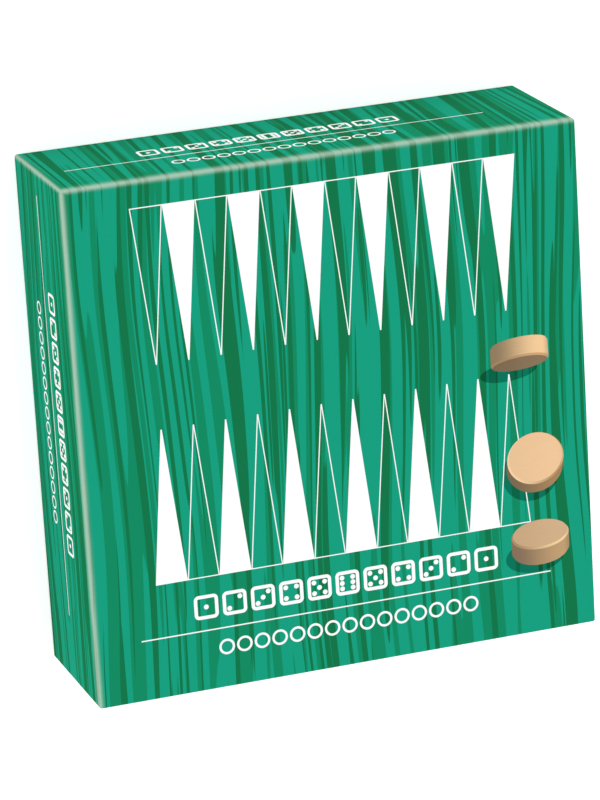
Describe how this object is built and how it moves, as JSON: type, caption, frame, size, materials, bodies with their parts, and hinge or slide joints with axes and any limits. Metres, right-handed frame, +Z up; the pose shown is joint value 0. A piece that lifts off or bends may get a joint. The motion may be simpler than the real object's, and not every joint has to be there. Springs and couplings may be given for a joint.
{
  "type": "backgammon set",
  "caption": "Square card box with a full-depth lift-off lid, holding a framed wooden backgammon board over a moulded insert with checkers, dice and a doubling cube.",
  "frame": {"origin": "centre of the base's underside, on the surface that the closed box lies on", "axes": "+Z up, out of the lid's face and along the lid's lift; +Y towards the head of the cover; +X to the cover's right"},
  "size_m": [0.24, 0.24, 0.076],
  "materials": {
    "printed_wrap": "greyboard wrapped in satin-varnished printed paper, streaked greens with white line work",
    "plain_wrap": "greyboard wrapped in plain matt green paper",
    "white_sheet": "vacuum-formed white sheet",
    "stained_panel": "plywood stained green, with white lines round the open points",
    "white_veneer": "inlaid veneer, bleached and lacquered white",
    "beech": "oiled beech moulding",
    "light_beech": "turned natural beech",
    "dark_beech": "turned beech, stained dark brown",
    "paper": "uncoated leaflet paper",
    "ivory_resin": "polished ivory-coloured resin"
  },
  "bodies": {
    "base": {"base_tray": "plain_wrap"},
    "lid": {"lid_shell": "printed_wrap"},
    "board": {"board_panel": "stained_panel", "board_bar": "beech", "board_rail_foot": "beech", "board_rail_right": "beech", "board_rail_head": "beech", "board_rail_left": "beech", "board_point_02": "white_veneer", "board_point_04": "white_veneer", "board_point_06": "white_veneer", "board_point_08": "white_veneer", "board_point_10": "white_veneer", "board_point_12": "white_veneer", "board_point_14": "white_veneer", "board_point_16": "white_veneer", "board_point_18": "white_veneer", "board_point_20": "white_veneer", "board_point_22": "white_veneer", "board_point_24": "white_veneer"},
    "leaflet": {"rules_leaflet": "paper"},
    "insert": {"insert_tray": "white_sheet"},
    "light_checker_01": {"light_checker_01": "light_beech"},
    "light_checker_02": {"light_checker_02": "light_beech"},
    "light_checker_03": {"light_checker_03": "light_beech"},
    "light_checker_04": {"light_checker_04": "light_beech"},
    "light_checker_05": {"light_checker_05": "light_beech"},
    "light_checker_06": {"light_checker_06": "light_beech"},
    "light_checker_07": {"light_checker_07": "light_beech"},
    "light_checker_08": {"light_checker_08": "light_beech"},
    "light_checker_09": {"light_checker_09": "light_beech"},
    "light_checker_10": {"light_checker_10": "light_beech"},
    "light_checker_11": {"light_checker_11": "light_beech"},
    "light_checker_12": {"light_checker_12": "light_beech"},
    "light_checker_13": {"light_checker_13": "light_beech"},
    "light_checker_14": {"light_checker_14": "light_beech"},
    "light_checker_15": {"light_checker_15": "light_beech"},
    "dark_checker_01": {"dark_checker_01": "dark_beech"},
    "dark_checker_02": {"dark_checker_02": "dark_beech"},
    "dark_checker_03": {"dark_checker_03": "dark_beech"},
    "dark_checker_04": {"dark_checker_04": "dark_beech"},
    "dark_checker_05": {"dark_checker_05": "dark_beech"},
    "dark_checker_06": {"dark_checker_06": "dark_beech"},
    "dark_checker_07": {"dark_checker_07": "dark_beech"},
    "dark_checker_08": {"dark_checker_08": "dark_beech"},
    "dark_checker_09": {"dark_checker_09": "dark_beech"},
    "dark_checker_10": {"dark_checker_10": "dark_beech"},
    "dark_checker_11": {"dark_checker_11": "dark_beech"},
    "dark_checker_12": {"dark_checker_12": "dark_beech"},
    "dark_checker_13": {"dark_checker_13": "dark_beech"},
    "dark_checker_14": {"dark_checker_14": "dark_beech"},
    "dark_checker_15": {"dark_checker_15": "dark_beech"},
    "die_1": {"die_1": "ivory_resin"},
    "die_2": {"die_2": "ivory_resin"},
    "doubling_cube": {"doubling_cube": "ivory_resin"}
  },
  "joints": [
    {"name": "lid_lift", "type": "slide", "parent": "base", "child": "lid", "axis": [0, 0, 1], "range_m": [0, 0.3]},
    {"name": "board_lift", "type": "slide", "parent": "base", "child": "board", "axis": [0, 0, 1], "range_m": [0, 0.18]},
    {"name": "leaflet_lift", "type": "slide", "parent": "board", "child": "leaflet", "axis": [0, 0, 1], "range_m": [0, 0.03]},
    {"name": "insert_lift", "type": "slide", "parent": "base", "child": "insert", "axis": [0, 0, 1], "range_m": [0, 0.075]},
    {"name": "light_checker_01_lift", "type": "slide", "parent": "insert", "child": "light_checker_01", "axis": [0, 0, 1], "range_m": [0, 0.03]},
    {"name": "light_checker_02_lift", "type": "slide", "parent": "insert", "child": "light_checker_02", "axis": [0, 0, 1], "range_m": [0, 0.03]},
    {"name": "light_checker_03_lift", "type": "slide", "parent": "insert", "child": "light_checker_03", "axis": [0, 0, 1], "range_m": [0, 0.03]},
    {"name": "light_checker_04_lift", "type": "slide", "parent": "insert", "child": "light_checker_04", "axis": [0, 0, 1], "range_m": [0, 0.03]},
    {"name": "light_checker_05_lift", "type": "slide", "parent": "insert", "child": "light_checker_05", "axis": [0, 0, 1], "range_m": [0, 0.03]},
    {"name": "light_checker_06_lift", "type": "slide", "parent": "insert", "child": "light_checker_06", "axis": [0, 0, 1], "range_m": [0, 0.03]},
    {"name": "light_checker_07_lift", "type": "slide", "parent": "insert", "child": "light_checker_07", "axis": [0, 0, 1], "range_m": [0, 0.03]},
    {"name": "light_checker_08_lift", "type": "slide", "parent": "insert", "child": "light_checker_08", "axis": [0, 0, 1], "range_m": [0, 0.03]},
    {"name": "light_checker_09_lift", "type": "slide", "parent": "insert", "child": "light_checker_09", "axis": [0, 0, 1], "range_m": [0, 0.03]},
    {"name": "light_checker_10_lift", "type": "slide", "parent": "insert", "child": "light_checker_10", "axis": [0, 0, 1], "range_m": [0, 0.03]},
    {"name": "light_checker_11_lift", "type": "slide", "parent": "insert", "child": "light_checker_11", "axis": [0, 0, 1], "range_m": [0, 0.03]},
    {"name": "light_checker_12_lift", "type": "slide", "parent": "insert", "child": "light_checker_12", "axis": [0, 0, 1], "range_m": [0, 0.03]},
    {"name": "light_checker_13_lift", "type": "slide", "parent": "insert", "child": "light_checker_13", "axis": [0, 0, 1], "range_m": [0, 0.03]},
    {"name": "light_checker_14_lift", "type": "slide", "parent": "insert", "child": "light_checker_14", "axis": [0, 0, 1], "range_m": [0, 0.03]},
    {"name": "light_checker_15_lift", "type": "slide", "parent": "insert", "child": "light_checker_15", "axis": [0, 0, 1], "range_m": [0, 0.03]},
    {"name": "dark_checker_01_lift", "type": "slide", "parent": "insert", "child": "dark_checker_01", "axis": [0, 0, 1], "range_m": [0, 0.03]},
    {"name": "dark_checker_02_lift", "type": "slide", "parent": "insert", "child": "dark_checker_02", "axis": [0, 0, 1], "range_m": [0, 0.03]},
    {"name": "dark_checker_03_lift", "type": "slide", "parent": "insert", "child": "dark_checker_03", "axis": [0, 0, 1], "range_m": [0, 0.03]},
    {"name": "dark_checker_04_lift", "type": "slide", "parent": "insert", "child": "dark_checker_04", "axis": [0, 0, 1], "range_m": [0, 0.03]},
    {"name": "dark_checker_05_lift", "type": "slide", "parent": "insert", "child": "dark_checker_05", "axis": [0, 0, 1], "range_m": [0, 0.03]},
    {"name": "dark_checker_06_lift", "type": "slide", "parent": "insert", "child": "dark_checker_06", "axis": [0, 0, 1], "range_m": [0, 0.03]},
    {"name": "dark_checker_07_lift", "type": "slide", "parent": "insert", "child": "dark_checker_07", "axis": [0, 0, 1], "range_m": [0, 0.03]},
    {"name": "dark_checker_08_lift", "type": "slide", "parent": "insert", "child": "dark_checker_08", "axis": [0, 0, 1], "range_m": [0, 0.03]},
    {"name": "dark_checker_09_lift", "type": "slide", "parent": "insert", "child": "dark_checker_09", "axis": [0, 0, 1], "range_m": [0, 0.03]},
    {"name": "dark_checker_10_lift", "type": "slide", "parent": "insert", "child": "dark_checker_10", "axis": [0, 0, 1], "range_m": [0, 0.03]},
    {"name": "dark_checker_11_lift", "type": "slide", "parent": "insert", "child": "dark_checker_11", "axis": [0, 0, 1], "range_m": [0, 0.03]},
    {"name": "dark_checker_12_lift", "type": "slide", "parent": "insert", "child": "dark_checker_12", "axis": [0, 0, 1], "range_m": [0, 0.03]},
    {"name": "dark_checker_13_lift", "type": "slide", "parent": "insert", "child": "dark_checker_13", "axis": [0, 0, 1], "range_m": [0, 0.03]},
    {"name": "dark_checker_14_lift", "type": "slide", "parent": "insert", "child": "dark_checker_14", "axis": [0, 0, 1], "range_m": [0, 0.03]},
    {"name": "dark_checker_15_lift", "type": "slide", "parent": "insert", "child": "dark_checker_15", "axis": [0, 0, 1], "range_m": [0, 0.03]},
    {"name": "die_1_lift", "type": "slide", "parent": "insert", "child": "die_1", "axis": [0, 0, 1], "range_m": [0, 0.03]},
    {"name": "die_2_lift", "type": "slide", "parent": "insert", "child": "die_2", "axis": [0, 0, 1], "range_m": [0, 0.03]},
    {"name": "doubling_cube_lift", "type": "slide", "parent": "insert", "child": "doubling_cube", "axis": [0, 0, 1], "range_m": [0, 0.03]}
  ],
  "couplings": [
    {"joint": "board_lift", "follows": "lid_lift", "ratio": 0.6},
    {"joint": "leaflet_lift", "follows": "lid_lift", "ratio": 0.1},
    {"joint": "insert_lift", "follows": "lid_lift", "ratio": 0.25},
    {"joint": "light_checker_01_lift", "follows": "lid_lift", "ratio": 0.1},
    {"joint": "light_checker_02_lift", "follows": "lid_lift", "ratio": 0.1},
    {"joint": "light_checker_03_lift", "follows": "lid_lift", "ratio": 0.1},
    {"joint": "light_checker_04_lift", "follows": "lid_lift", "ratio": 0.1},
    {"joint": "light_checker_05_lift", "follows": "lid_lift", "ratio": 0.1},
    {"joint": "light_checker_06_lift", "follows": "lid_lift", "ratio": 0.1},
    {"joint": "light_checker_07_lift", "follows": "lid_lift", "ratio": 0.1},
    {"joint": "light_checker_08_lift", "follows": "lid_lift", "ratio": 0.1},
    {"joint": "light_checker_09_lift", "follows": "lid_lift", "ratio": 0.1},
    {"joint": "light_checker_10_lift", "follows": "lid_lift", "ratio": 0.1},
    {"joint": "light_checker_11_lift", "follows": "lid_lift", "ratio": 0.1},
    {"joint": "light_checker_12_lift", "follows": "lid_lift", "ratio": 0.1},
    {"joint": "light_checker_13_lift", "follows": "lid_lift", "ratio": 0.1},
    {"joint": "light_checker_14_lift", "follows": "lid_lift", "ratio": 0.1},
    {"joint": "light_checker_15_lift", "follows": "lid_lift", "ratio": 0.1},
    {"joint": "dark_checker_01_lift", "follows": "lid_lift", "ratio": 0.1},
    {"joint": "dark_checker_02_lift", "follows": "lid_lift", "ratio": 0.1},
    {"joint": "dark_checker_03_lift", "follows": "lid_lift", "ratio": 0.1},
    {"joint": "dark_checker_04_lift", "follows": "lid_lift", "ratio": 0.1},
    {"joint": "dark_checker_05_lift", "follows": "lid_lift", "ratio": 0.1},
    {"joint": "dark_checker_06_lift", "follows": "lid_lift", "ratio": 0.1},
    {"joint": "dark_checker_07_lift", "follows": "lid_lift", "ratio": 0.1},
    {"joint": "dark_checker_08_lift", "follows": "lid_lift", "ratio": 0.1},
    {"joint": "dark_checker_09_lift", "follows": "lid_lift", "ratio": 0.1},
    {"joint": "dark_checker_10_lift", "follows": "lid_lift", "ratio": 0.1},
    {"joint": "dark_checker_11_lift", "follows": "lid_lift", "ratio": 0.1},
    {"joint": "dark_checker_12_lift", "follows": "lid_lift", "ratio": 0.1},
    {"joint": "dark_checker_13_lift", "follows": "lid_lift", "ratio": 0.1},
    {"joint": "dark_checker_14_lift", "follows": "lid_lift", "ratio": 0.1},
    {"joint": "dark_checker_15_lift", "follows": "lid_lift", "ratio": 0.1},
    {"joint": "die_1_lift", "follows": "lid_lift", "ratio": 0.1},
    {"joint": "die_2_lift", "follows": "lid_lift", "ratio": 0.1},
    {"joint": "doubling_cube_lift", "follows": "lid_lift", "ratio": 0.1}
  ]
}
